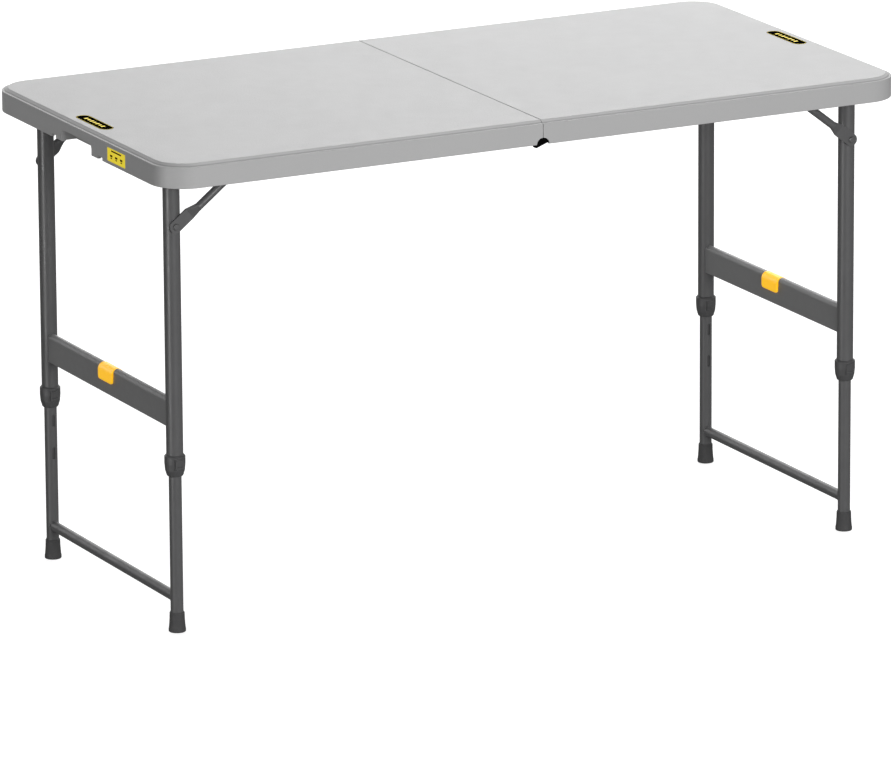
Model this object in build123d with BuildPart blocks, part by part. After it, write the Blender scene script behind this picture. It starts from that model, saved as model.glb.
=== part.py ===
"""Folding camp table: two half tops hinged at the middle, telescopic leg frames that fold inward,
and a carrying strap. Millimetres, +Z up, floor at Z 0, long side along X, short side along Y."""

import os

from build123d import *

os.makedirs("parts", exist_ok=True)

# overall
LENGTH = 1220.0
WIDTH = 610.0
HEIGHT = 721.0
THICKNESS = 36.0
SKIRT_Z = HEIGHT - THICKNESS
CORNER_R = 54.0
LEDGE_Z = SKIRT_Z + 31.8
LEDGE_W = 3.4
LIP_INSET = 9.0
LINE_H = 0.5
LINE_D = 1.6
SEAM_BEVEL = 0.9
SKIRT_WALL = 6.0
SEAM_WALL = 5.0
SEAM_GAP = 0.45
CEILING_Z = SKIRT_Z + 29.0

# end skirt details
HAND_W = 103.0
HAND_H = 18.0
HAND_WALL_X = 584.0
NICK_W = 17.0
NICK_H = 5.0
STRAP_NICK_H = 6.5
NICK_LEFT_Y = 80.5
STRAP_Y = 71.5
LABEL = (60.5, 20.0, 0.6)
LABEL_Y = -137.2
LABEL_Z = SKIRT_Z + 15.5
BADGE = (101.0, 22.5, 1.0)
BADGE_X = 580.0

# leg frames
LEG_X = 561.0
LEG_Y = 217.0
PIVOT_Z = SKIRT_Z + 15.5
UPPER_R = 12.5
UPPER_WALL = 1.2
LOWER_R = 9.5
LOWER_WALL = 1.2
UPPER_END_Z = 246.0
LOWER_TOP_Z = 380.0
FOOT_H = 30.0
FOOT_FLOOR = 4.0
STRETCHER_Z = 51.0
STRETCHER_R = 7.75
STEP = 50.8
LOCK_Z = 317.6
SLOT = (5.0, 19.0)

# cross beam and button
BEAM_Z0 = 308.5
BEAM_Z1 = 351.5
BEAM_HALF_T = 7.0
BEAM_WALL = 2.0
BEAM_END_Y = 213.0
BUTTON_HALF_L = 23.5
BUTTON_SKIRT = 23.5
BUTTON_WALL = 2.8
RUN_GAP = 0.3

# collars
COLLAR_Z0 = 236.5
COLLAR_Z1 = 268.5
COLLAR_WAIST_Z = 245.5
COLLAR_TOP_R = 15.5
COLLAR_WAIST_R = 14.6
COLLAR_LOW_R = 12.2
FIT = 0.05

# side braces
RIVET_DROP = 88.0
RIVET_R = 3.0
BRACE_L = 143.0
BRACE_RUN = (BRACE_L**2 - RIVET_DROP**2) ** 0.5
BRACE_TUBE_R = 6.0
TAB_R = 9.5
TAB_T = 3.0
BRACE_Y0 = 230.0
BRACE_Y1 = 242.0

# rails, hinge and strap
RAIL_Y = (243.5, 260.5)
RAIL_Z = (PIVOT_Z - 9.5, CEILING_Z)
RAIL_X = (54.0, 540.0)
RAIL_T = 1.5
RAIL_LIP = 4.0
ROD_R = 5.0
ROD_HALF_L = 278.0
KNUCKLE_R = 8.0
ARCH_R = 10.5
CLAMP_Y = (-150.0, 150.0)
SCREW_R = 2.0
SCREW_BITE = 4.0
CLAMP_SCREW_DX = 24.0
RAIL_SCREW_X = (70.0, 180.0, 290.0, 520.0)
RAIL_SCREW_Y = (RAIL_Y[0] + RAIL_Y[1]) / 2
STRAP_X = 598.0
STRAP_Z = SKIRT_Z + 2.5
STRAP_W = 15.0
STRAP_T = 2.5
STRAP_DROP = 62.0
STRAP_PIN_R = 1.5


def save(part, name):
    part.label = name
    export_step(part, f"parts/{name}.step")


def flipped(part, to_right=False, to_back=False):
    """A left front piece carried to the right and/or back by mirroring."""
    if to_right:
        part = mirror(part, about=Plane.YZ)
    if to_back:
        part = mirror(part, about=Plane.XZ)
    return part


def save_four(part, name):
    for end, to_right in (("left", False), ("right", True)):
        save(flipped(part, to_right), f"{name}_front_{end}")
        save(flipped(part, to_right, True), f"{name}_back_{end}")


def save_two(part, name):
    save(part, f"{name}_left")
    save(flipped(part, to_right=True), f"{name}_right")


def along_y(y0, y1, x, z):
    """A plane facing +Y at y0, with the length to reach y1."""
    return Plane(origin=(x, y0, z), x_dir=(1, 0, 0), z_dir=(0, 1, 0)), y1 - y0


def y_cylinder(radius, y0, y1, x, z, mode=Mode.ADD):
    """A cylinder lying along Y between y0 and y1."""
    with Locations((x, (y0 + y1) / 2, z)):
        Cylinder(radius, abs(y1 - y0), rotation=(90, 0, 0), mode=mode)


def block(x0, x1, y0, y1, z0, z1, mode=Mode.ADD):
    with Locations(((x0 + x1) / 2, (y0 + y1) / 2, (z0 + z1) / 2)):
        Box(x1 - x0, y1 - y0, z1 - z0, mode=mode)


def screw_spots():
    """Left half screw positions: (x, y, z of the seat under the head)."""
    clamp = [(-LEG_X + s * CLAMP_SCREW_DX, y, CEILING_Z - 5.0) for y in CLAMP_Y for s in (-1, 1)]
    rail = [(-x, s * RAIL_SCREW_Y, CEILING_Z - RAIL_T) for x in RAIL_SCREW_X for s in (-1, 1)]
    return clamp + rail


# ---- half tops
def plan_outline(inset, z, past_seam=0.0):
    """The left half's plan shape at height z, drawn in by inset on its three outer sides."""
    x0 = -LENGTH / 2 + inset
    x1 = -SEAM_GAP + past_seam
    with BuildSketch(Plane.XY.offset(z)) as plan:
        with Locations(((x0 + x1) / 2, 0)):
            Rectangle(x1 - x0, WIDTH - 2 * inset)
        fillet(plan.vertices().group_by(Axis.X)[0], CORNER_R - inset)
    return plan.sketch


def edge_groove(inset_out, inset_in, z):
    """A narrow band of the plan between two insets, for a moulded line round the edge."""
    with BuildSketch() as band:
        add(plan_outline(inset_out, z, 1.0))
        add(plan_outline(inset_in, z, 2.0), mode=Mode.SUBTRACT)
    return band.sketch


def outer_edges(face):
    """The edges of a face other than its edge along the seam."""
    return face.edges().filter_by(lambda e: e.center().X < -SEAM_GAP - 1.0)


def half_top(nick_y, nick_h, labelled):
    """The left half of the top: a tray with a skirt, seam wall, shallow ribs and hand hold."""
    inner_end = -LENGTH / 2 + SKIRT_WALL
    inner_seam = -SEAM_GAP - SEAM_WALL
    with BuildPart() as half:
        extrude(plan_outline(0, SKIRT_Z), amount=LEDGE_Z - SKIRT_Z)
        fillet(outer_edges(half.faces().sort_by(Axis.Z)[0]), 1.5)
        fillet(outer_edges(half.faces().sort_by(Axis.Z)[-1]), 0.8)
        # raised field with a sloping rim, and the line moulded where the rim meets the ledge
        extrude(plan_outline(LEDGE_W, LEDGE_Z), amount=HEIGHT - LEDGE_Z)
        top = half.faces().sort_by(Axis.Z)[-1]
        chamfer(outer_edges(top), LIP_INSET - LEDGE_W, HEIGHT - LEDGE_Z - 0.1, reference=top)
        fillet(outer_edges(half.faces().sort_by(Axis.Z)[-1]), 1.5)
        extrude(edge_groove(LEDGE_W - 0.1, LEDGE_W + LINE_D, LEDGE_Z), amount=LINE_H, mode=Mode.SUBTRACT)
        # small bevel beside the seam
        plane, run = along_y(-WIDTH / 2 - 1, WIDTH / 2 + 1, -SEAM_GAP, HEIGHT)
        with BuildSketch(plane):
            Polygon((-SEAM_BEVEL, 0), (-SEAM_BEVEL, -1), (1, -1), (1, 1 + SEAM_BEVEL), align=None)
        extrude(amount=run, mode=Mode.SUBTRACT)
        # hollow underside
        with BuildSketch(Plane.XY.offset(SKIRT_Z)) as hollow:
            with Locations(((inner_end + inner_seam) / 2, 0)):
                Rectangle(inner_seam - inner_end, WIDTH - 2 * SKIRT_WALL)
            fillet(hollow.vertices().group_by(Axis.X)[0], CORNER_R - SKIRT_WALL)
        extrude(amount=CEILING_Z - SKIRT_Z, mode=Mode.SUBTRACT)
        # shallow stiffening ribs between the leg lines
        for n in range(7):
            x = -60.0 - 70.0 * n
            block(x - 2.5, x + 2.5, -196, 196, CEILING_Z - 3, CEILING_Z + 1)
        for y in (-180.0, -108.0, -36.0, 36.0, 108.0, 180.0):
            block(-482.5, -5, y - 2.5, y + 2.5, CEILING_Z - 3, CEILING_Z + 1)
        # hand hold and its pocket walls
        with BuildSketch(Plane.YZ.offset(-LENGTH / 2 - 1)):
            with Locations((0, SKIRT_Z)):
                RectangleRounded(HAND_W, 2 * HAND_H, 8)
        extrude(amount=SKIRT_WALL + 2, mode=Mode.SUBTRACT)
        for s in (-1, 1):
            y = s * (HAND_W / 2 + 3)
            block(inner_end - 1, 1 - HAND_WALL_X, y - 1.5, y + 1.5, SKIRT_Z + 1, CEILING_Z + 1)
        block(-1.5 - HAND_WALL_X, 1.5 - HAND_WALL_X, -HAND_W / 2 - 4.5, HAND_W / 2 + 4.5,
              SKIRT_Z + 1, CEILING_Z + 1)
        # strap nicks
        for s in (-1, 1):
            y = s * nick_y
            end = -LENGTH / 2
            block(end - 1, end + SKIRT_WALL + 1, y - NICK_W / 2, y + NICK_W / 2,
                  SKIRT_Z - 1, SKIRT_Z + nick_h, Mode.SUBTRACT)
        # seam: rod channel, knuckle and spacer pockets, front and back arches
        y_cylinder(ROD_R + 0.5, -WIDTH / 2 + SKIRT_WALL, WIDTH / 2 - SKIRT_WALL, 0, SKIRT_Z, Mode.SUBTRACT)
        for s in (-1, 1):
            y_cylinder(KNUCKLE_R + 1, s * 234.0, s * 285.0, 0, SKIRT_Z, Mode.SUBTRACT)
            y_cylinder(ARCH_R, s * 284.0, s * (WIDTH / 2 + 1), 0, SKIRT_Z, Mode.SUBTRACT)
        # leg grooves carried through the seam wall
        for s in (-1, 1):
            block(inner_seam - 1, 0, s * LEG_Y - 14, s * LEG_Y + 14, SKIRT_Z - 1, CEILING_Z, Mode.SUBTRACT)
        # pockets in the ceiling for the stowed collars
        for s in (-1, 1):
            block(-135, -88, s * LEG_Y - 17, s * LEG_Y + 17, CEILING_Z - 1, CEILING_Z + 2.5, Mode.SUBTRACT)
        # badge recess in the top face
        with BuildSketch(Plane.XY.offset(HEIGHT)):
            with Locations((-BADGE_X, 0)):
                SlotOverall(BADGE[0], BADGE[1], rotation=90)
        extrude(amount=-BADGE[2], mode=Mode.SUBTRACT)
        if labelled:
            x = -LENGTH / 2 + LABEL[2] / 2
            with Locations((x, LABEL_Y, LABEL_Z)):
                Box(LABEL[2], LABEL[0], LABEL[1], mode=Mode.SUBTRACT)
        # pilot holes for the screws
        for x, y, _ in screw_spots():
            with Locations((x, y, CEILING_Z)):
                Cylinder(SCREW_R, 2 * SCREW_BITE, mode=Mode.SUBTRACT)
    return half.part


save(half_top(NICK_LEFT_Y, NICK_H, True), "panel_left")
save(flipped(half_top(STRAP_Y, STRAP_NICK_H, False), to_right=True), "panel_right")

with BuildPart() as badge:
    with BuildSketch(Plane.XY.offset(HEIGHT)):
        with Locations((-BADGE_X, 0)):
            SlotOverall(BADGE[0], BADGE[1], rotation=90)
    extrude(amount=-BADGE[2])
save_two(badge.part, "badge")

with BuildPart() as end_label:
    with Locations((-LENGTH / 2 + LABEL[2] / 2, LABEL_Y, LABEL_Z)):
        Box(LABEL[2], LABEL[0], LABEL[1])
    fillet(end_label.edges().filter_by(Axis.X), 1.5)
save(end_label.part, "end_label")

# ---- pivot clamps and panel screws
with BuildPart() as clamps:
    for y in CLAMP_Y:
        plane, run = along_y(y - 11, y + 11, -LEG_X, PIVOT_Z)
        low = PIVOT_Z - SKIRT_Z - 0.5
        up = CEILING_Z - PIVOT_Z
        with BuildSketch(plane) as saddle:
            with Locations((0, (low - up) / 2)):
                Rectangle(31, low + up)
            fillet(saddle.vertices().group_by(Axis.Z)[0], 9)
            with Locations((0, -up + 2.5)):
                Rectangle(62, 5)
            Circle(UPPER_R + FIT, mode=Mode.SUBTRACT)
        extrude(amount=run)
    for x, y, seat in screw_spots():
        with Locations((x, y, seat)):
            Cylinder(SCREW_R, 30, mode=Mode.SUBTRACT)
save_two(clamps.part, "pivot_clamps")

with BuildPart() as screws:
    for x, y, seat in screw_spots():
        with Locations((x, y, seat - 2.2)):
            Cylinder(3.6, 2.2, align=(Align.CENTER, Align.CENTER, Align.MIN))
        with Locations((x, y, seat)):
            Cylinder(SCREW_R, CEILING_Z + SCREW_BITE - seat, align=(Align.CENTER, Align.CENTER, Align.MIN))
save_two(screws.part, "panel_screws")

# ---- side rails
with BuildPart() as rail:
    block(-RAIL_X[1], -RAIL_X[0], -RAIL_Y[1], -RAIL_Y[0], RAIL_Z[0], RAIL_Z[1])
    block(-RAIL_X[1] - 1, -RAIL_X[0] + 1, -RAIL_Y[1] + RAIL_T, -RAIL_Y[0] - RAIL_T,
          RAIL_Z[0] + RAIL_T, RAIL_Z[1] - RAIL_T, Mode.SUBTRACT)
    block(-RAIL_X[1] - 1, -RAIL_X[0] + 1, -RAIL_Y[0] - RAIL_T - 1, -RAIL_Y[0] + 1,
          RAIL_Z[0] + RAIL_LIP, RAIL_Z[1] - RAIL_LIP, Mode.SUBTRACT)
    for x in RAIL_SCREW_X:
        with Locations((-x, -RAIL_SCREW_Y, RAIL_Z[1])):
            Cylinder(SCREW_R, 2 * RAIL_T + 1, mode=Mode.SUBTRACT)
save_four(rail.part, "rail")

# ---- middle hinge
with BuildPart() as rod:
    y_cylinder(ROD_R, -ROD_HALF_L, ROD_HALF_L, 0, SKIRT_Z)
save(rod.part, "hinge_rod")


def hinge_leaves(y0, y1, bore):
    """Front and back leaves of the left half: knuckle, arm, upright and foot under the top."""
    with BuildPart() as leaves:
        for s in (-1, 1):
            plane, run = along_y(s * y0, s * y1, 0, SKIRT_Z)
            with BuildSketch(plane):
                Circle(KNUCKLE_R)
                with Locations((-25, -3.5)):
                    Rectangle(50, 5)
                with Locations((-47.5, -15)):
                    Rectangle(5, 28)
                with Locations((-35, -27.5)):
                    Rectangle(30, 3)
                Circle(bore, mode=Mode.SUBTRACT)
            extrude(amount=run)
    return leaves.part


save(hinge_leaves(236.0, 243.5, ROD_R), "hinge_leaves_left")
save(flipped(hinge_leaves(244.0, 251.5, ROD_R + FIT), to_right=True), "hinge_leaves_right")

with BuildPart() as spacers:
    for s in (-1, 1):
        y_cylinder(KNUCKLE_R, s * 262.0, s * 274.0, 0, SKIRT_Z)
    y_cylinder(ROD_R, -ROD_HALF_L, ROD_HALF_L, 0, SKIRT_Z, Mode.SUBTRACT)
save(spacers.part, "hinge_spacers")

with BuildPart() as rod_caps:
    for s in (-1, 1):
        y_cylinder(7.0, s * ROD_HALF_L, s * (ROD_HALF_L + 5), 0, SKIRT_Z)
save(rod_caps.part, "rod_caps")

with BuildPart() as covers:
    for s in (-1, 1):
        plane, run = along_y(s * 299.5, s * 304.5, 0, SKIRT_Z)
        with BuildSketch(plane):
            Circle(ARCH_R - 0.4)
            Polygon((-15, 0.4), (0, 0.4), (0, 4.6), (-10, 4.6), (-14, 3.2), align=None)
            Polygon((-15, 9.5), (-15, 5.9), (15, -5.3), (15, 20), align=None, mode=Mode.SUBTRACT)
        extrude(amount=run)
        y_cylinder(4.0, s * (ROD_HALF_L + 5), s * 299.5, -1, SKIRT_Z + 4)
save(covers.part, "hinge_covers")

# ---- upper leg frame
with BuildPart() as pivot_tube:
    y_cylinder(UPPER_R, -LEG_Y - UPPER_R, LEG_Y + UPPER_R, -LEG_X, PIVOT_Z)
    y_cylinder(UPPER_R - UPPER_WALL, -LEG_Y - UPPER_R - 1, LEG_Y + UPPER_R + 1, -LEG_X, PIVOT_Z, Mode.SUBTRACT)
save_two(pivot_tube.part, "pivot_tube")

with BuildPart() as upper_leg:
    with BuildSketch(Plane.XY.offset(UPPER_END_Z)):
        with Locations((-LEG_X, -LEG_Y)):
            Circle(UPPER_R)
            Circle(UPPER_R - UPPER_WALL, mode=Mode.SUBTRACT)
    extrude(amount=PIVOT_Z - UPPER_END_Z)
    y_cylinder(UPPER_R, -LEG_Y - 20, -LEG_Y + 20, -LEG_X, PIVOT_Z, Mode.SUBTRACT)
    y_cylinder(RIVET_R, -LEG_Y - 20, -LEG_Y, -LEG_X, PIVOT_Z - RIVET_DROP, Mode.SUBTRACT)
    with Locations((-LEG_X, -LEG_Y + UPPER_R, LOCK_Z)):
        Box(SLOT[0] + 0.4, 8, SLOT[1] + 0.4, mode=Mode.SUBTRACT)
save_four(upper_leg.part, "upper_leg")

with BuildPart() as rivets:
    for s in (-1, 1):
        z = PIVOT_Z - RIVET_DROP
        y_cylinder(RIVET_R, s * (LEG_Y + 9), s * (BRACE_Y0 + TAB_T + RUN_GAP), -LEG_X, z)
        y_cylinder(5.0, s * (BRACE_Y0 + TAB_T + RUN_GAP), s * (BRACE_Y0 + TAB_T + RUN_GAP + 2.6), -LEG_X, z)
    fillet(rivets.faces().filter_by(Axis.Y).group_by(Axis.Y)[0].edges(), 2.0)
    fillet(rivets.faces().filter_by(Axis.Y).group_by(Axis.Y)[-1].edges(), 2.0)
save_two(rivets.part, "brace_rivets")

# ---- cross beam
def arch(y, half_t, z0, z1):
    """A round-topped upright profile on the leg line, in a plane facing +Y at y."""
    with BuildSketch(Plane(origin=(-LEG_X, y, 0), x_dir=(-1, 0, 0), z_dir=(0, 1, 0))) as profile:
        with Locations((0, (z0 + z1 - half_t) / 2)):
            Rectangle(2 * half_t, z1 - half_t - z0)
        with Locations((0, z1 - half_t)):
            Circle(half_t)
    return profile.sketch


with BuildPart() as beam:
    extrude(arch(-BEAM_END_Y, BEAM_HALF_T, BEAM_Z0, BEAM_Z1), amount=2 * BEAM_END_Y)
    low_edges = beam.faces().sort_by(Axis.Z)[0].edges().filter_by(Axis.Y)
    fillet(low_edges, 0.7)
    inner = BEAM_HALF_T - BEAM_WALL
    block(-LEG_X - inner, -LEG_X + inner, -BEAM_END_Y - 1, BEAM_END_Y + 1,
          BEAM_Z0 - 1, BEAM_Z1 - 10, Mode.SUBTRACT)
    reach = BUTTON_HALF_L + 0.5
    block(-LEG_X - 10, -LEG_X + 10, -reach, reach, BEAM_Z1 - 14.5, BEAM_Z1 + 1, Mode.SUBTRACT)
    for s in (-1, 1):
        with Locations((-LEG_X, s * LEG_Y, BEAM_Z0)):
            Cylinder(UPPER_R, 200, mode=Mode.SUBTRACT)
save_two(beam.part, "cross_beam")

# ---- release button, pressed down over the beam
with BuildPart() as button:
    half_in = BEAM_HALF_T + RUN_GAP
    half_out = half_in + BUTTON_WALL
    z_low = BEAM_Z1 - BUTTON_SKIRT
    z_top = BEAM_Z1 + 0.3
    extrude(arch(-BUTTON_HALF_L, half_out, z_low, z_top), amount=2 * BUTTON_HALF_L)
    fillet(button.edges().filter_by(Axis.X).group_by(Axis.Z)[0], 5.0)
    fillet(button.faces().filter_by(Axis.Y).edges(), 0.6)
    extrude(arch(-BUTTON_HALF_L - 1, half_in, z_low - 1, z_top - BUTTON_WALL), amount=2 * BUTTON_HALF_L + 2,
            mode=Mode.SUBTRACT)
    block(-LEG_X - 4, -LEG_X + 4, -10, 10, LOCK_Z + 16, z_top - 1)
save_two(button.part, "release_button")

with BuildPart() as lock_pin:
    tip = LEG_Y - LOWER_R - RUN_GAP
    block(-LEG_X - SLOT[0] / 2 + 0.3, -LEG_X + SLOT[0] / 2 - 0.3, -tip, -tip + 16,
          LOCK_Z - SLOT[1] / 2 + 0.3, LOCK_Z + SLOT[1] / 2 - 0.3)
    y_cylinder(2.4, -tip + 15, -17, -LEG_X, LOCK_Z)
save_four(lock_pin.part, "lock_pin")

# ---- collars at the upper leg ends
with BuildPart() as collar:
    with BuildSketch(Plane.XZ.offset(LEG_Y)) as ring:
        with Locations((-LEG_X, 0)):
            Polygon(
                (0, COLLAR_Z0), (COLLAR_LOW_R - 1.2, COLLAR_Z0), (COLLAR_LOW_R, COLLAR_Z0 + 1.2),
                (COLLAR_WAIST_R, COLLAR_WAIST_Z), (COLLAR_TOP_R, COLLAR_WAIST_Z + 10),
                (COLLAR_TOP_R, COLLAR_Z1 - 2), (COLLAR_TOP_R - 1.8, COLLAR_Z1), (0, COLLAR_Z1), align=None,
            )
    revolve(axis=Axis((-LEG_X, -LEG_Y, 0), (0, 0, 1)))
    for s in (-1, 1):
        with Locations((-LEG_X, -LEG_Y + s * (COLLAR_TOP_R - 1.2), 256)):
            Box(13, 4, 15)
        with Locations((-LEG_X, -LEG_Y + s * (COLLAR_TOP_R + 1.0), 256)):
            Box(8, 1.6, 9, mode=Mode.SUBTRACT)
    with Locations((-LEG_X, -LEG_Y, UPPER_END_Z)):
        Cylinder(UPPER_R, 100, align=(Align.CENTER, Align.CENTER, Align.MIN), mode=Mode.SUBTRACT)
        Cylinder(LOWER_R + FIT, 100, mode=Mode.SUBTRACT)
save_four(collar.part, "collar")

# ---- lower telescopic frame
with BuildPart() as lower_leg:
    with BuildSketch(Plane.XY.offset(FOOT_FLOOR)):
        with Locations((-LEG_X, -LEG_Y)):
            Circle(LOWER_R)
            Circle(LOWER_R - LOWER_WALL, mode=Mode.SUBTRACT)
    extrude(amount=LOWER_TOP_Z - FOOT_FLOOR)
    for n in range(4):
        with BuildSketch(Plane.XZ.offset(LEG_Y)):
            with Locations((-LEG_X, LOCK_Z - n * STEP)):
                SlotOverall(SLOT[1], SLOT[0], rotation=90)
        extrude(amount=-LOWER_R - 2, mode=Mode.SUBTRACT)
save_four(lower_leg.part, "lower_leg")

with BuildPart() as stretcher:
    y_cylinder(STRETCHER_R, -LEG_Y, LEG_Y, -LEG_X, STRETCHER_Z)
    y_cylinder(STRETCHER_R - LOWER_WALL, -LEG_Y, LEG_Y, -LEG_X, STRETCHER_Z, Mode.SUBTRACT)
    for s in (-1, 1):
        with Locations((-LEG_X, s * LEG_Y, STRETCHER_Z)):
            Cylinder(LOWER_R, 60, mode=Mode.SUBTRACT)
save_two(stretcher.part, "stretcher")

with BuildPart() as foot:
    with BuildSketch(Plane.XZ.offset(LEG_Y)):
        with Locations((-LEG_X, 0)):
            Polygon(
                (0, 0), (11.9, 0), (12.8, 0.9), (12.8, 4.5), (12.3, 7), (11.8, 12), (11.3, 20),
                (11.1, FOOT_H - 1.2), (10.4, FOOT_H), (LOWER_R, FOOT_H), (LOWER_R, FOOT_FLOOR),
                (0, FOOT_FLOOR), align=None,
            )
    revolve(axis=Axis((-LEG_X, -LEG_Y, 0), (0, 0, 1)))
save_four(foot.part, "foot")

# ---- braces and their sliders
with BuildPart() as brace:
    rivet = Vector(-LEG_X, 0, PIVOT_Z - RIVET_DROP)
    rise = Vector(BRACE_RUN, 0, RIVET_DROP).normalized()
    far = rivet + rise * BRACE_L
    tab_in = Plane(origin=(rivet.X, -BRACE_Y0, rivet.Z), x_dir=tuple(rise), z_dir=(0, -1, 0))
    tab_out = Plane(origin=(far.X, -BRACE_Y1 + TAB_T, far.Z), x_dir=tuple(rise), z_dir=(0, -1, 0))
    for plane, direction in ((tab_in, 1), (tab_out, -1)):
        with BuildSketch(plane):
            Circle(TAB_R)
            with Locations((direction * 14, 0)):
                Rectangle(28, 2 * TAB_R)
        extrude(amount=TAB_T)
    tube_y = -(BRACE_Y0 + BRACE_Y1) / 2
    for start, step, y in ((rivet, 1, -BRACE_Y0 - TAB_T / 2), (far, -1, -BRACE_Y1 + TAB_T / 2)):
        a = start + rise * (step * 28)
        b = start + rise * (step * 44)
        with BuildSketch(Plane(origin=(a.X, y, a.Z), x_dir=(0, 1, 0), z_dir=tuple(rise * step))):
            Rectangle(TAB_T, 2 * TAB_R)
        with BuildSketch(Plane(origin=(b.X, tube_y, b.Z), x_dir=(0, 1, 0), z_dir=tuple(rise * step))):
            RectangleRounded(2 * BRACE_TUBE_R, 2 * BRACE_TUBE_R, BRACE_TUBE_R - 0.2)
        loft()
    near = rivet + rise * 43.5
    with BuildSketch(Plane(origin=(near.X, tube_y, near.Z), x_dir=(0, 1, 0), z_dir=tuple(rise))):
        Circle(BRACE_TUBE_R)
    extrude(amount=BRACE_L - 87)
    y_cylinder(RIVET_R + FIT, -BRACE_Y0 - 10, -BRACE_Y0 + 5, rivet.X, rivet.Z, Mode.SUBTRACT)
    y_cylinder(4.5, -BRACE_Y1 + TAB_T, -BRACE_Y1 + TAB_T + 2.2, far.X, far.Z)
save_four(brace.part, "brace")

with BuildPart() as sliders:
    slide_x = -LEG_X + BRACE_RUN
    for s in (-1, 1):
        y0 = s * (RAIL_Y[0] + RAIL_T + RUN_GAP)
        y1 = s * (RAIL_Y[1] - RAIL_T - RUN_GAP)
        block(slide_x - 12, slide_x + 12, min(y0, y1), max(y0, y1),
              RAIL_Z[0] + RAIL_T + RUN_GAP, RAIL_Z[1] - RAIL_T - RUN_GAP)
        y_cylinder(4.8, s * (BRACE_Y1 + RUN_GAP), y0, slide_x, PIVOT_Z)
save_two(sliders.part, "rail_sliders")

# ---- carrying strap and its anchors at the right end
with BuildPart() as strap:
    half_w = STRAP_Y + STRAP_W / 2
    with BuildSketch(Plane.YZ.offset(STRAP_X - STRAP_T / 2)) as band:
        with Locations((0, STRAP_Z - STRAP_DROP / 2 - 1)):
            Rectangle(2 * half_w, STRAP_DROP - 2)
        fillet(band.vertices().group_by(Axis.Y)[0], 30)
        with BuildSketch(mode=Mode.SUBTRACT) as gap:
            with Locations((0, STRAP_Z - STRAP_DROP / 2 + STRAP_W / 2)):
                Rectangle(2 * half_w - 2 * STRAP_W, STRAP_DROP - STRAP_W)
            fillet(gap.vertices().group_by(Axis.Y)[0], 20)
    extrude(amount=STRAP_T)
    for s in (-1, 1):
        y_cylinder(3.2, s * (STRAP_Y - STRAP_W / 2), s * (STRAP_Y + STRAP_W / 2), STRAP_X, STRAP_Z)
        y_cylinder(STRAP_PIN_R + FIT, s * (STRAP_Y - 10), s * (STRAP_Y + 10), STRAP_X, STRAP_Z, Mode.SUBTRACT)
save(strap.part, "carry_strap")

with BuildPart() as anchors:
    for s in (-1, 1):
        for side in (-1, 1):
            y = s * STRAP_Y + side * (STRAP_W / 2 + 1.3)
            block(STRAP_X - 4, STRAP_X + 4, y - 0.8, y + 0.8, STRAP_Z - 3, CEILING_Z)
        block(STRAP_X - 4, STRAP_X + 4, s * STRAP_Y - STRAP_W / 2 - 1, s * STRAP_Y + STRAP_W / 2 + 1,
              CEILING_Z - 2, CEILING_Z)
        y_cylinder(STRAP_PIN_R, s * (STRAP_Y - STRAP_W / 2 - 1), s * (STRAP_Y + STRAP_W / 2 + 1),
                   STRAP_X, STRAP_Z)
save(anchors.part, "strap_anchors")
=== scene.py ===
import math

import bmesh
import bpy
from mathutils import Matrix, Vector


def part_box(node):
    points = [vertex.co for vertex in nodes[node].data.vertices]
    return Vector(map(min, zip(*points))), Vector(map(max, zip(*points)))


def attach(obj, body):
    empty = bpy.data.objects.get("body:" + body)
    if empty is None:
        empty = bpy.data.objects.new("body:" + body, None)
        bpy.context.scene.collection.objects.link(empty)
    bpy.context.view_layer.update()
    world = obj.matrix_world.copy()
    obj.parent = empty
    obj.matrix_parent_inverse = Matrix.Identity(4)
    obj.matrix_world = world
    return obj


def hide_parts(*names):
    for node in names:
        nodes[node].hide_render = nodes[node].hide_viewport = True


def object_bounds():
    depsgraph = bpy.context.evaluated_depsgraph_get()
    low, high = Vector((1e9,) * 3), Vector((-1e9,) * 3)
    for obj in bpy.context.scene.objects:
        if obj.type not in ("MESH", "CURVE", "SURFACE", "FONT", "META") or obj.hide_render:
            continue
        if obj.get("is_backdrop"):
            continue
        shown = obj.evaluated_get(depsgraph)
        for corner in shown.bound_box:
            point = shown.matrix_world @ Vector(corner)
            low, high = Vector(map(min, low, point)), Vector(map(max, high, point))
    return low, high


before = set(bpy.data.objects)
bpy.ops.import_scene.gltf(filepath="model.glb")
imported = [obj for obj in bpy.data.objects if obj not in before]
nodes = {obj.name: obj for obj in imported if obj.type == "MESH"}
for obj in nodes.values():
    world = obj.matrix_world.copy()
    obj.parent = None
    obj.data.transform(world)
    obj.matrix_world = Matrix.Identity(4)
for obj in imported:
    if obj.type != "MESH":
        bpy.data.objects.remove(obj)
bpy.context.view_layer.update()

scene = bpy.context.scene
ENDS = ("left", "right")
SIDES = ("front", "back")
MM = 0.001

# ---- where things are, from the frame
panel_low, panel_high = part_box("panel_left")
TOP_Z = panel_high.z
UPRIGHT = (Vector((0, 1, 0)), Vector((0, 0, 1)))
LENGTHWAYS = (Vector((1, 0, 0)), Vector((0, 0, 1)))


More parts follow.
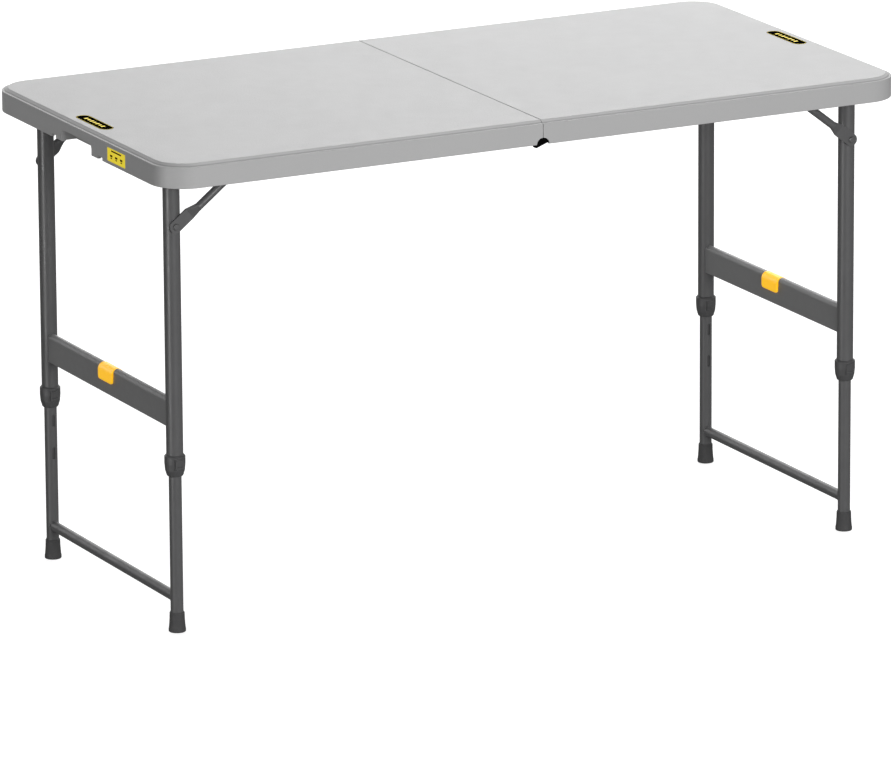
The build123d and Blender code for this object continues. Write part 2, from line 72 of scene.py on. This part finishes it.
# ======================================================================= shader building
class Shader:
    """A Principled material under construction, with its textures laid in the object's own space."""

    def __init__(self, name, colour, roughness, **sockets):
        self.mat = bpy.data.materials.new(name)
        self.mat.use_nodes = True
        self.tree = self.mat.node_tree
        self.tree.nodes.clear()
        out = self.add("ShaderNodeOutputMaterial")
        self.bsdf = self.add("ShaderNodeBsdfPrincipled")
        self.link(self.bsdf.outputs["BSDF"], out.inputs["Surface"])
        self.bsdf.inputs["Base Color"].default_value = (*colour, 1.0)
        self.bsdf.inputs["Roughness"].default_value = roughness
        for socket, value in sockets.items():
            self.bsdf.inputs[socket.replace("_", " ")].default_value = value
        self.coords = self.add("ShaderNodeTexCoord").outputs["Object"]
        self.height = None

    def add(self, kind, **values):
        node = self.tree.nodes.new(kind)
        for key, value in values.items():
            setattr(node, key, value)
        return node

    def link(self, a, b):
        self.tree.links.new(a, b)

    def feed(self, socket, value):
        """A link where value is an output, and a plain number where it isn't."""
        if isinstance(value, bpy.types.NodeSocket):
            self.link(value, socket)
        else:
            socket.default_value = value

    def stretched(self, x, y, z):
        node = self.add("ShaderNodeMapping")
        self.link(self.coords, node.inputs["Vector"])
        node.inputs["Scale"].default_value = (x, y, z)
        return node.outputs["Vector"]

    def noise(self, scale, detail=2.0, rough=0.5, distortion=0.0, coords=None):
        node = self.add("ShaderNodeTexNoise")
        self.link(coords or self.coords, node.inputs["Vector"])
        node.inputs["Scale"].default_value = scale
        node.inputs["Detail"].default_value = detail
        node.inputs["Roughness"].default_value = rough
        node.inputs["Distortion"].default_value = distortion
        return node.outputs["Fac"]

    def cells(self, scale, smooth=0.4, coords=None):
        node = self.add("ShaderNodeTexVoronoi", feature="SMOOTH_F1")
        self.link(coords or self.coords, node.inputs["Vector"])
        node.inputs["Scale"].default_value = scale
        node.inputs["Smoothness"].default_value = smooth
        return node.outputs["Distance"]

    def ranged(self, value, low, high, to_low=0.0, to_high=1.0, smooth=False):
        node = self.add("ShaderNodeMapRange")
        if smooth:
            node.interpolation_type = "SMOOTHSTEP"
        self.link(value, node.inputs["Value"])
        node.inputs["From Min"].default_value = low
        node.inputs["From Max"].default_value = high
        node.inputs["To Min"].default_value = to_low
        node.inputs["To Max"].default_value = to_high
        return node.outputs["Result"]

    def maths(self, operation, a, b=0.0):
        node = self.add("ShaderNodeMath", operation=operation)
        self.feed(node.inputs[0], a)
        self.feed(node.inputs[1], b)
        return node.outputs["Value"]

    def axis(self, name):
        """One coordinate of the point, in metres."""
        node = self.add("ShaderNodeSeparateXYZ")
        self.link(self.coords, node.inputs["Vector"])
        return node.outputs[name]

    def edges(self, radius, low=0.02, high=0.25):
        """1 near sharp edges and 0 on plain surfaces, broken up a little."""
        bevel = self.add("ShaderNodeBevel", samples=4)
        bevel.inputs["Radius"].default_value = radius
        turn = self.add("ShaderNodeVectorMath", operation="DOT_PRODUCT")
        self.link(bevel.outputs["Normal"], turn.inputs[0])
        self.link(self.add("ShaderNodeNewGeometry").outputs["Normal"], turn.inputs[1])
        bent = self.maths("SUBTRACT", 1.0, turn.outputs["Value"])
        near = self.ranged(bent, low, high, smooth=True)
        patchy = self.ranged(self.noise(120.0, 4.0, 0.7), 0.35, 0.6)
        return self.maths("MULTIPLY", near, patchy)

    def blend_colour(self, share, second, first=None):
        """Mixes the present base colour towards second by share."""
        node = self.add("ShaderNodeMix", data_type="RGBA")
        self.link(share, node.inputs["Factor"])
        socket = self.bsdf.inputs["Base Color"]
        if socket.is_linked:
            self.link(socket.links[0].from_socket, node.inputs["A"])
        else:
            node.inputs["A"].default_value = socket.default_value[:]
        node.inputs["B"].default_value = (*second, 1.0)
        self.link(node.outputs["Result"], socket)

    def roughness(self, value, low, high):
        self.link(self.ranged(value, 0.3, 0.7, low, high), self.bsdf.inputs["Roughness"])

    def bump(self, height, distance, strength=1.0):
        node = self.add("ShaderNodeBump")
        node.inputs["Strength"].default_value = strength
        node.inputs["Distance"].default_value = distance
        self.link(height, node.inputs["Height"])
        socket = self.bsdf.inputs["Normal"]
        if socket.is_linked:
            self.link(socket.links[0].from_socket, node.inputs["Normal"])
        self.link(node.outputs["Normal"], socket)


def moulded(name, colour, roughness, lighter, grain, grain_depth, wear, **sockets):
    """A moulded plastic: fine grain, faint clouding, uneven sheen and rubbed edges."""
    s = Shader(name, colour, roughness, **sockets)
    cloud = s.noise(14.0, 3.0, 0.6)
    s.blend_colour(s.ranged(cloud, 0.35, 0.7, 0.0, 0.5), lighter)
    fleck = s.ranged(s.noise(1400.0, 1.0), 0.55, 0.75, 0.0, 0.25)
    s.blend_colour(fleck, tuple(0.75 * c for c in colour))
    rubbed = tuple(min(1.0, 1.5 * c + 0.03) for c in colour)
    s.blend_colour(s.maths("MULTIPLY", s.edges(0.9 * MM), wear), rubbed)
    s.roughness(s.noise(60.0, 4.0, 0.65), roughness - 0.07, roughness + 0.08)
    s.bump(s.noise(grain, 2.0, 0.6), grain_depth)
    return s


# ======================================================================= materials
def top_plastic():
    """Light grey blow moulding: pebbled on the top face, smooth on the skirt, dull beneath."""
    s = Shader("top_plastic", (0.60, 0.60, 0.60), 0.5, Specular_IOR_Level=0.35)
    s.blend_colour(s.ranged(s.noise(5.0, 4.0, 0.6), 0.35, 0.7, 0.0, 0.6), (0.575, 0.575, 0.578))
    s.blend_colour(s.ranged(s.noise(900.0, 1.5), 0.5, 0.8, 0.0, 0.35), (0.54, 0.54, 0.545))
    scuff = s.noise(30.0, 6.0, 0.75, 0.6, s.stretched(0.25, 2.2, 1.0))
    s.blend_colour(s.ranged(scuff, 0.64, 0.74, 0.0, 0.22), (0.66, 0.66, 0.66))
    s.blend_colour(s.maths("MULTIPLY", s.edges(1.2 * MM), 0.5), (0.70, 0.70, 0.70))
    # painted shade: a dark line along the foot of the rim's slope, standing in for the shadow in the groove
    # there
    above = s.ranged(s.axis("Z"), TOP_Z - 4.3 * MM, TOP_Z - 4.1 * MM)
    below = s.ranged(s.axis("Z"), TOP_Z - 2.6 * MM, TOP_Z - 3.4 * MM)
    s.blend_colour(s.maths("MULTIPLY", s.maths("MULTIPLY", above, below), 0.8), (0.36, 0.36, 0.363))
    s.roughness(s.noise(35.0, 5.0, 0.7), 0.44, 0.58)
    on_top = s.ranged(s.axis("Z"), TOP_Z - 1.2 * MM, TOP_Z - 0.2 * MM, smooth=True)
    pebbles = s.maths("ADD", s.cells(430.0, 0.6), s.maths("MULTIPLY", s.noise(900.0, 2.0), 0.5))
    s.bump(s.maths("MULTIPLY", pebbles, on_top), 0.22 * MM, 0.8)
    s.bump(s.noise(260.0, 3.0, 0.6), 0.03 * MM, 0.5)
    return s.mat


def powder_coat(name, colour, roughness=0.42):
    """Satin powder coat on steel: orange peel, faint speckle and dull rubbed edges."""
    s = Shader(name, colour, roughness, Specular_IOR_Level=0.5)
    s.blend_colour(s.ranged(s.noise(1800.0, 1.0), 0.5, 0.75, 0.0, 0.35), tuple(1.35 * c for c in colour))
    s.blend_colour(s.ranged(s.noise(9.0, 4.0, 0.6), 0.4, 0.7, 0.0, 0.4), tuple(0.88 * c for c in colour))
    s.blend_colour(s.maths("MULTIPLY", s.edges(0.7 * MM), 0.55), tuple(2.2 * c for c in colour))
    long_scuff = s.noise(60.0, 6.0, 0.8, 0.3, s.stretched(2.5, 2.5, 0.35))
    s.blend_colour(s.ranged(long_scuff, 0.66, 0.75, 0.0, 0.25), tuple(1.7 * c for c in colour))
    s.roughness(s.noise(45.0, 4.0, 0.6), roughness - 0.08, roughness + 0.1)
    s.bump(s.noise(850.0, 2.0, 0.5), 0.05 * MM, 0.7)
    return s.mat


def zinc(name, colour, roughness):
    """Zinc plate: soft spangle, brushed streaks, dull patches."""
    s = Shader(name, colour, roughness, Metallic=1.0)
    s.blend_colour(s.ranged(s.noise(40.0, 4.0, 0.7), 0.35, 0.7, 0.0, 0.6), tuple(0.72 * c for c in colour))
    streak = s.noise(700.0, 3.0, 0.6, 0.0, s.stretched(0.03, 1.0, 1.0))
    s.blend_colour(s.ranged(streak, 0.5, 0.8, 0.0, 0.4), tuple(0.85 * c for c in colour))
    s.roughness(s.noise(120.0, 5.0, 0.7), roughness - 0.08, roughness + 0.14)
    s.bump(streak, 0.02 * MM, 0.6)
    return s.mat


def rubber():
    s = Shader("foot_rubber", (0.080, 0.080, 0.082), 0.7, Specular_IOR_Level=0.4)
    s.blend_colour(s.ranged(s.noise(160.0, 5.0, 0.7), 0.45, 0.75, 0.0, 0.5), (0.105, 0.103, 0.100))
    s.blend_colour(s.maths("MULTIPLY", s.edges(0.9 * MM), 0.7), (0.14, 0.14, 0.14))
    s.roughness(s.noise(90.0, 4.0, 0.7), 0.62, 0.82)
    s.bump(s.noise(2200.0, 2.0), 0.05 * MM)
    return s.mat


def webbing():
    s = Shader("strap_webbing", (0.016, 0.016, 0.017), 0.75, Sheen_Weight=0.25, Sheen_Roughness=0.4)
    s.blend_colour(s.ranged(s.noise(900.0, 3.0), 0.45, 0.75, 0.0, 0.5), (0.045, 0.045, 0.047))
    s.roughness(s.noise(300.0, 3.0), 0.66, 0.85)
    s.bump(s.noise(2600.0, 2.0), 0.06 * MM)
    return s.mat


LOOKS = {
    "top_plastic": top_plastic(),
    "frame_steel": powder_coat("frame_steel", (0.135, 0.135, 0.137), 0.40),
    "hinge_steel": powder_coat("hinge_steel", (0.09, 0.09, 0.092), 0.5),
    "beam_plastic": moulded("beam_plastic", (0.285, 0.285, 0.288), 0.42, (0.31, 0.31, 0.313),
                            1600.0, 0.05 * MM, 0.4).mat,
    "collar_plastic": moulded("collar_plastic", (0.090, 0.090, 0.092), 0.5, (0.10, 0.10, 0.102),
                              1500.0, 0.05 * MM, 0.6).mat,
    "clamp_plastic": moulded("clamp_plastic", (0.002, 0.002, 0.002), 0.85, (0.003, 0.003, 0.003),
                             1300.0, 0.06 * MM, 0.1, Specular_IOR_Level=0.05).mat,
    "cream_plastic": moulded("cream_plastic", (0.72, 0.67, 0.52), 0.45, (0.76, 0.71, 0.57),
                             900.0, 0.03 * MM, 0.4).mat,
    # painted light: the button glows through its emission, brighter than the lamps alone light it
    "button_plastic": moulded("button_plastic", (0.98, 0.52, 0.012), 0.36, (1.0, 0.56, 0.02),
                              1200.0, 0.03 * MM, 0.5,
                              Emission_Color=(1.0, 0.53, 0.01, 1.0), Emission_Strength=0.68).mat,
    "badge_plastic": moulded("badge_plastic", (0.002, 0.002, 0.002), 0.88, (0.003, 0.003, 0.003),
                             800.0, 0.02 * MM, 0.1, Specular_IOR_Level=0.0).mat,
    # painted light: the label film, and the badge marks that share it, glow through emission, brighter than
    # the lamps alone light them
    "label_film": moulded("label_film", (0.80, 0.62, 0.015), 0.4, (0.84, 0.68, 0.03),
                          500.0, 0.02 * MM, 0.3,
                          Emission_Color=(1.0, 0.78, 0.02, 1.0), Emission_Strength=0.5).mat,
    "rail_steel": zinc("rail_steel", (0.60, 0.61, 0.62), 0.38),
    "bright_steel": zinc("bright_steel", (0.68, 0.68, 0.69), 0.3),
    "foot_rubber": rubber(),
    "strap_webbing": webbing(),
}
slot_of_node = {}
for name, obj in nodes.items():
    for slot in obj.material_slots:
        slot_of_node[name] = slot.material.name.split(".")[0]
        slot.material = LOOKS[slot_of_node[name]]


# ======================================================================= mesh helpers
def new_piece(name, bm, look, body, smooth=True):
    """A finished mesh as a named piece that rides on a body and takes its finish from a slot."""
    bmesh.ops.recalc_face_normals(bm, faces=bm.faces)
    mesh = bpy.data.meshes.new(name)
    bm.to_mesh(mesh)
    bm.free()
    for face in mesh.polygons:
        face.use_smooth = smooth
    obj = bpy.data.objects.new(name, mesh)
    scene.collection.objects.link(obj)
    mesh.materials.append(LOOKS[look])
    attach(obj, body)
    return obj


def sweep(bm, frames, section, loop=False):
    """Skin through copies of a closed section; a frame is (origin, across, up, scale)."""
    rings = []
    for origin, across, up, scale in frames:
        rings.append([bm.verts.new(origin + scale * (u * across + v * up)) for u, v in section])
    pairs = list(zip(rings, rings[1:]))
    if loop:
        pairs.append((rings[-1], rings[0]))
    else:
        bm.faces.new(rings[0][::-1])
        bm.faces.new(rings[-1])
    for a, b in pairs:
        for i in range(len(section)):
            j = (i + 1) % len(section)
            bm.faces.new((a[i], a[j], b[j], b[i]))


def circle(radius, sides):
    turns = [2 * math.pi * k / sides for k in range(sides)]
    return [(radius * math.cos(t), radius * math.sin(t)) for t in turns]


def frames_along(points, up_hint, loop=False, scale=None):
    """Frames for sweep: across is level with the path's side, up leans towards up_hint."""
    frames = []
    count = len(points)
    for k, point in enumerate(points):
        before = points[k - 1] if loop or k else points[0]
        after = points[(k + 1) % count] if loop or k < count - 1 else points[-1]
        along = (after - before).normalized()
        across = along.cross(up_hint).normalized()
        frames.append((point, across, across.cross(along), scale(k) if scale else 1.0))
    return frames


# ======================================================================= welds
def bead_size(k):
    """Ripples of a hand-run weld bead."""
    return 1.0 + 0.22 * math.sin(k * 1.9) + 0.08 * math.sin(k * 0.73)


def tube_box(node):
    """Centre and radius across X of an upright or lying tube."""
    low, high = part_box(node)
    return (low + high) / 2, (high.x - low.x) / 2


for end in ENDS:
    bm_low = bmesh.new()
    bm_up = bmesh.new()
    middle, cross_r = tube_box(f"stretcher_{end}")
    pivot, pivot_r = tube_box(f"pivot_tube_{end}")
    for side in SIDES:
        leg, leg_r = tube_box(f"lower_leg_{side}_{end}")
        inward = -1 if leg.y > 0 else 1
        ring = []
        for k in range(72):
            turn = 2 * math.pi * k / 72
            x = cross_r * math.cos(turn)
            gap = math.sqrt(leg_r**2 - x**2) + 0.3 * MM
            z = 1.02 * cross_r * math.sin(turn)
            ring.append(Vector((leg.x + x * 1.02, leg.y + inward * gap, middle.z + z)))
        sweep(bm_low, frames_along(ring, Vector((0, 1, 0)), True, bead_size), circle(0.95 * MM, 8), True)
        ring = []
        for k in range(96):
            turn = 2 * math.pi * k / 96
            x = pivot_r * math.cos(turn)
            drop = math.sqrt(max(0.0, pivot_r**2 - x**2)) + 0.4 * MM
            ring.append(Vector((leg.x + x, leg.y + pivot_r * math.sin(turn), pivot.z - drop)))
        sweep(bm_up, frames_along(ring, Vector((0, 0, 1)), True, bead_size), circle(0.6 * MM, 8), True)
    new_piece(f"stretcher_welds_{end}", bm_low, "frame_steel", f"lower_frame_{end}")
    new_piece(f"pivot_welds_{end}", bm_up, "frame_steel", f"leg_frame_{end}")

# ======================================================================= slot liners in the lower tubes
LINER_OUTER = 7.95 * MM
LINER_INNER = 6.9 * MM
LINER_HEIGHTS = (148, 149, 200, 250, 300, 337, 338)

for end in ENDS:
    bm = bmesh.new()
    for side in SIDES:
        leg, leg_r = tube_box(f"lower_leg_{side}_{end}")
        inward = -1 if leg.y > 0 else 1
        section = []
        for radius, order in ((LINER_OUTER, 1), (LINER_INNER, -1)):
            for k in range(-8, 9)[::order]:
                turn = math.radians(7.0 * k)
                section.append((radius * math.sin(turn), inward * radius * math.cos(turn)))
        column = [Vector((leg.x, leg.y, z * MM)) for z in LINER_HEIGHTS]
        sizes = (0.96, 1.0, 1.0, 1.0, 1.0, 1.0, 0.96)
        frames = [(point, Vector((1, 0, 0)), Vector((0, 1, 0)), size) for point, size in zip(column, sizes)]
        sweep(bm, frames, section)
    new_piece(f"slot_liners_{end}", bm, "collar_plastic", f"lower_frame_{end}")

# ======================================================================= ridges on the collars' clips
RIDGE_HEIGHTS = (248.5, 252.0, 262.8)
RIDGE_SPOTS = ((-5.6, 0.6), (-5.2, 1.0), (5.2, 1.0), (5.6, 0.6))

for end in ENDS:
    bm = bmesh.new()
    for side in SIDES:
        low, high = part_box(f"collar_{side}_{end}")
        middle = (low + high) / 2
        for way in (-1, 1):
            face_y = middle.y + way * (high.y - low.y) / 2
            for z in RIDGE_HEIGHTS:
                frames = [(Vector((middle.x + x * MM, face_y, z * MM)), *UPRIGHT, size)
                          for x, size in RIDGE_SPOTS]
                sweep(bm, frames, circle(0.55 * MM, 8))
    new_piece(f"collar_ridges_{end}", bm, "collar_plastic", f"leg_frame_{end}")

# ======================================================================= badge rims and bars
for end in ENDS:
    low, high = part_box(f"badge_{end}")
    middle = (low + high) / 2
    inset = 1.1 * MM
    end_r = (high.x - low.x) / 2 - inset
    straight = (high.y - low.y) / 2 - inset - end_r
    ring = []
    for way in (1, -1):
        for k in range(25):
            turn = math.pi * k / 24
            ring.append(Vector((middle.x + way * end_r * math.cos(turn),
                                middle.y + way * (straight + end_r * math.sin(turn)), high.z)))
    bm = bmesh.new()
    lip = [(-0.16, -0.1), (0.16, -0.1), (0.16, 0.1), (0.1, 0.2), (-0.1, 0.2), (-0.16, 0.1)]
    sweep(bm, frames_along(ring, Vector((0, 0, 1)), True), [(u * MM, v * MM) for u, v in lip], True)
    bar = [(-3.4, -0.1), (3.4, -0.1), (3.4, 0.1), (3.2, 0.2), (-3.2, 0.2), (-3.4, 0.1)]
    for k in range(7):
        start = middle.y + (k - 3) * 9.5 * MM
        spots = [(-2.2, 0.96), (-2.0, 1.0), (2.0, 1.0), (2.2, 0.96)]
        frames = [(Vector((middle.x, start + y * MM, high.z)), *LENGTHWAYS, size) for y, size in spots]
        sweep(bm, frames, [(u * MM * (0.75 if k % 2 else 1.0), v * MM) for u, v in bar])
    new_piece(f"badge_marks_{end}", bm, "label_film", f"{end}_half", smooth=False)

# ======================================================================= end label print
low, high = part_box("end_label")
bm = bmesh.new()
film = [(-0.02, -0.5), (0.12, -0.47), (0.12, 0.47), (-0.02, 0.5)]


def printed(bm, y0, y1, z0, z1):
    """A thin raised patch on the label's face, as heavy ink."""
    section = [(-u * MM, v * (z1 - z0)) for u, v in film]
    spots = [(y0, 0.98), (y0 + 0.2 * MM, 1.0), (y1 - 0.2 * MM, 1.0), (y1, 0.98)]
    frames = [(Vector((low.x, y, (z0 + z1) / 2)), *LENGTHWAYS, size) for y, size in spots]
    sweep(bm, frames, section)


centre = (low.y + high.y) / 2
printed(bm, centre - 17 * MM, centre + 17 * MM, high.z - 4.6 * MM, high.z - 2.4 * MM)
for k in (-1, 0, 1):
    start = centre + 17 * k * MM
    printed(bm, start - 4 * MM, start + 4 * MM, low.z + 7.5 * MM, low.z + 10.5 * MM)
    printed(bm, start - 2.4 * MM, start + 2.4 * MM, low.z + 4.6 * MM, low.z + 6.4 * MM)
new_piece("end_label_print", bm, "badge_plastic", "left_half", smooth=False)

# ======================================================================= screws under the top
def screw(bm, at):
    """A domed washer head with a cross recess, facing down, its seat at the given point."""
    rings = [0.0, 0.35, 0.7, 1.05, 1.4, 1.75, 2.1, 2.6, 3.1, 3.45, 3.6]
    sides = 40
    rows = []
    for r in rings:
        row = []
        for k in range(sides):
            turn = 2 * math.pi * k / sides
            x, y = r * math.cos(turn), r * math.sin(turn)
            z = -2.2 + 0.9 * (r / 3.6) ** 3
            if min(abs(x), abs(y)) < 0.42 and r < 2.0:
                z += 1.3 * (1 - 0.35 * r)
            row.append(bm.verts.new(at + Vector((x, y, z)) * MM))
        rows.append(row)
    rows.append([bm.verts.new(at + Vector((3.6 * math.cos(t), 3.6 * math.sin(t), 0.0)) * MM)
                 for t in [2 * math.pi * k / sides for k in range(sides)]])
    for a, b in zip(rows, rows[1:]):
        for k in range(sides):
            j = (k + 1) % sides
            bm.faces.new((a[k], a[j], b[j], b[k]))
    shank = [(at + Vector((0, 0, z)) * MM, Vector((1, 0, 0)), Vector((0, 1, 0)), size)
             for z, size in ((-0.5, 1.0), (6.0, 1.0), (8.0, 0.6))]
    sweep(bm, shank, circle(1.9 * MM, 12))


CLAMP_SCREW_Y = 150 * MM
CLAMP_SCREW_STEP = 24 * MM
RAIL_SCREW_X = (70, 180, 290, 520)

for end in ENDS:
    clamp_low, clamp_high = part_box(f"pivot_clamps_{end}")
    rail_low, rail_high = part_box(f"rail_front_{end}")
    outward = -1 if end == "left" else 1
    leg_x = (clamp_low.x + clamp_high.x) / 2
    bm = bmesh.new()
    for y in (-CLAMP_SCREW_Y, CLAMP_SCREW_Y):
        for step in (-CLAMP_SCREW_STEP, CLAMP_SCREW_STEP):
            screw(bm, Vector((leg_x + step, y, clamp_high.z - 5 * MM)))
    for x in RAIL_SCREW_X:
        for way in (-1, 1):
            y = way * abs(rail_low.y + rail_high.y) / 2
            screw(bm, Vector((outward * x * MM, y, rail_high.z - 1.5 * MM)))
    piece = new_piece(f"cross_screws_{end}", bm, "bright_steel", f"{end}_half")
    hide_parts(f"panel_screws_{end}")

# ======================================================================= carrying strap
low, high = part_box("carry_strap")
PIN = Vector(((low.x + high.x) / 2, 0, high.z - 3.2 * MM))
STRAP_Y = high.y - 7.5 * MM
WEB_W = 13.0
LOOP_R = 2.5
DROP = 54.5
BEND_R = 24.0


def strap_line():
    """Points (x, y, z in mm from the pin line) and twist in degrees, from one tail to the other."""
    half = [(1.25, 0, -23.0 + k, 0) for k in range(17)]
    half += [(1.25 + 1.25 * k / 6, 0, -6.0 + k, 0) for k in range(6)]
    turns = [math.pi * k / 10 for k in range(11)]
    half += [(LOOP_R * math.cos(t), 0, LOOP_R * math.sin(t), 0) for t in turns]
    half += [(-LOOP_R + 1.9 * min(1.0, k / 8), 0, -1.0 - k, 0) for k in range(18)]
    straight = DROP - BEND_R - 19
    steps = 14
    for k in range(1, steps + 1):
        share = k / steps
        ease = share * share * (3 - 2 * share)
        half.append((-0.6 * (1 - ease), 0, -19 - straight * share, 90 * ease))
    for k in range(1, 25):
        t = math.radians(90 * k / 24)
        half.append((0, BEND_R * (1 - math.cos(t)), -DROP + BEND_R * (1 - math.sin(t)), 90))
    reach = STRAP_Y / MM - BEND_R
    level = [(0, BEND_R + reach * k / 40, -DROP - 0.8 * math.sin(math.pi * k / 80), 90) for k in range(1, 41)]
    half += level
    other = [(x, 2 * STRAP_Y / MM - y, z, 180 - twist) for x, y, z, twist in half[:-1][::-1]]
    return half + other


def ribbon(bm):
    """Flat webbing swept along the strap line, with a woven rib on both faces."""
    line = strap_line()
    points = [PIN + Vector((x, y - STRAP_Y / MM, z)) * MM for x, y, z, _ in line]
    across_count = 26
    rings = []
    travel = 0.0
    for k, (point, (_, _, _, twist)) in enumerate(zip(points, line)):
        before, after = points[max(0, k - 1)], points[min(len(points) - 1, k + 1)]
        travel += (point - points[k - 1]).length / MM if k else 0.0
        along = (after - before).normalized()
        flat = Vector((0, 1, 0)) - along * along.y
        lean = Vector((1, 0, 0)) - along * along.x
        turn = math.radians(twist)
        if abs(along.y) > 0.02:
            side = lean.normalized()
        elif abs(along.x) > 0.5:
            side = flat.normalized()
        else:
            side = (math.cos(turn) * flat.normalized() + abs(math.sin(turn)) * lean.normalized()).normalized()
        normal = along.cross(side).normalized()
        ring = []
        for face, order in ((1, 1), (-1, -1)):
            for n in range(across_count + 1)[::order]:
                u = (n / across_count - 0.5) * WEB_W
                chevron = abs(u) * 0.8
                rib = 0.10 * math.sin(2 * math.pi * (travel + chevron) / 2.0)
                edge = 0.55 if n in (0, across_count) else 1.0
                ring.append(bm.verts.new(point + MM * (u * side + face * edge * (0.62 + rib) * normal)))
        rings.append(ring)
    count = len(rings[0])
    for a, b in zip(rings, rings[1:]):
        for i in range(count):
            j = (i + 1) % count
            bm.faces.new((a[i], a[j], b[j], b[i]))
    bm.faces.new(rings[0][::-1])
    bm.faces.new(rings[-1])


# along the stitch, lift off the webbing, thickness
STITCH = ((-1, 0, 0.4), (-0.6, 0.12, 1), (0, 0.18, 1.1), (0.6, 0.12, 1), (1, 0, 0.4))


def stitches(bm):
    """A boxed cross of raised thread where each tail is sewn to the strap."""
    corners = [(-4.5, -9), (4.5, -9), (4.5, -21), (-4.5, -21)]
    lines = [(corners[k], corners[(k + 1) % 4]) for k in range(4)]
    lines += [(corners[0], corners[2]), (corners[1], corners[3])]
    for way in (-1, 1):
        for face_x in (-1.45, 2.1):
            for (y0, z0), (y1, z1) in lines:
                length = math.hypot(y1 - y0, z1 - z0)
                sideways = Vector((0, -(z1 - z0), y1 - y0)).normalized()
                count = max(2, round(length / 3.0))
                for k in range(count):
                    middle = (k + 0.5) / count
                    reach = 1.05 / length
                    row = []
                    for t, lift, size in STITCH:
                        share = middle + t * reach
                        x = face_x + math.copysign(lift, face_x)
                        y = way * STRAP_Y / MM + y0 + (y1 - y0) * share
                        spot = Vector((x, y, z0 + (z1 - z0) * share))
                        row.append((PIN + spot * MM, Vector((1, 0, 0)), sideways, size))
                    sweep(bm, row, circle(0.3 * MM, 6))


bm = bmesh.new()
ribbon(bm)
band = new_piece("strap_webbing_band", bm, "strap_webbing", "strap")
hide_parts("carry_strap")
bm = bmesh.new()
stitches(bm)
new_piece("strap_stitching", bm, "strap_webbing", "strap")


# ======================================================================= camera, lights and floor
CAMERA_AT = Vector((-5.66358, -11.02669, 3.60991))
CAMERA_RIGHT = Vector((0.888923, -0.45802, -0.005813))
CAMERA_FORWARD = Vector((0.440775, 0.85877, -0.261212))

camera_data = bpy.data.cameras.new("camera")
camera_data.sensor_width = 36.0
camera_data.lens = 343.532
camera_data.clip_start = 0.5
camera_data.clip_end = 200.0
camera = bpy.data.objects.new("camera", camera_data)
scene.collection.objects.link(camera)
back = -CAMERA_FORWARD.normalized()
right = (CAMERA_RIGHT - CAMERA_RIGHT.dot(back) * back).normalized()
up = back.cross(right)
turn = Matrix((right, up, back)).transposed().to_4x4()
camera.matrix_world = Matrix.Translation(CAMERA_AT) @ turn
scene.camera = camera


def area_light(name, place, aim, size, watts, tint=(1.0, 1.0, 1.0)):
    data = bpy.data.lights.new(name, "AREA")
    data.shape = "RECTANGLE"
    data.size, data.size_y = size
    data.energy = watts
    data.color = tint
    obj = bpy.data.objects.new(name, data)
    scene.collection.objects.link(obj)
    obj.location = place
    obj.rotation_euler = (Vector(aim) - Vector(place)).to_track_quat("-Z", "Y").to_euler()
    obj.visible_camera = False
    return obj


area_light("light_key", (2.3, 2.5, 4.2), (0.1, 0.0, 0.7), (3.4, 3.4), 172.0)
area_light("light_front", (-0.1, -5.2, 1.5), (0.0, 0.0, 0.5), (3.0, 1.8), 127.0)
area_light("light_back", (0.4, 5.0, 1.7), (0.0, 0.0, 0.5), (9.5, 2.6), 120.0)
strip = area_light("light_strip", (-4.2, -1.1, 0.55), (-0.6, 0.0, 0.4), (0.9, 2.2), 150.0)
strip.visible_diffuse = False

world = bpy.data.worlds.new("studio")
scene.world = world
world.use_nodes = True
world.node_tree.nodes["Background"].inputs["Color"].default_value = (1.0, 1.0, 1.0, 1.0)
world.node_tree.nodes["Background"].inputs["Strength"].default_value = 0.22

floor_mesh = bpy.data.meshes.new("floor")
floor_mesh.from_pydata([(-60, -60, 0), (60, -60, 0), (60, 60, 0), (-60, 60, 0)], [], [(0, 1, 2, 3)])
floor = bpy.data.objects.new("floor", floor_mesh)
scene.collection.objects.link(floor)
pale = Shader("floor", (0.35, 0.35, 0.35), 0.9, Emission_Color=(1.0, 1.0, 1.0, 1.0), Emission_Strength=0.88)
floor_mesh.materials.append(pale.mat)
floor.visible_diffuse = False
floor.visible_glossy = False
floor.location.z = -0.0005
floor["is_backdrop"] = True

scene.view_settings.view_transform = "Standard"

low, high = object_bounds()
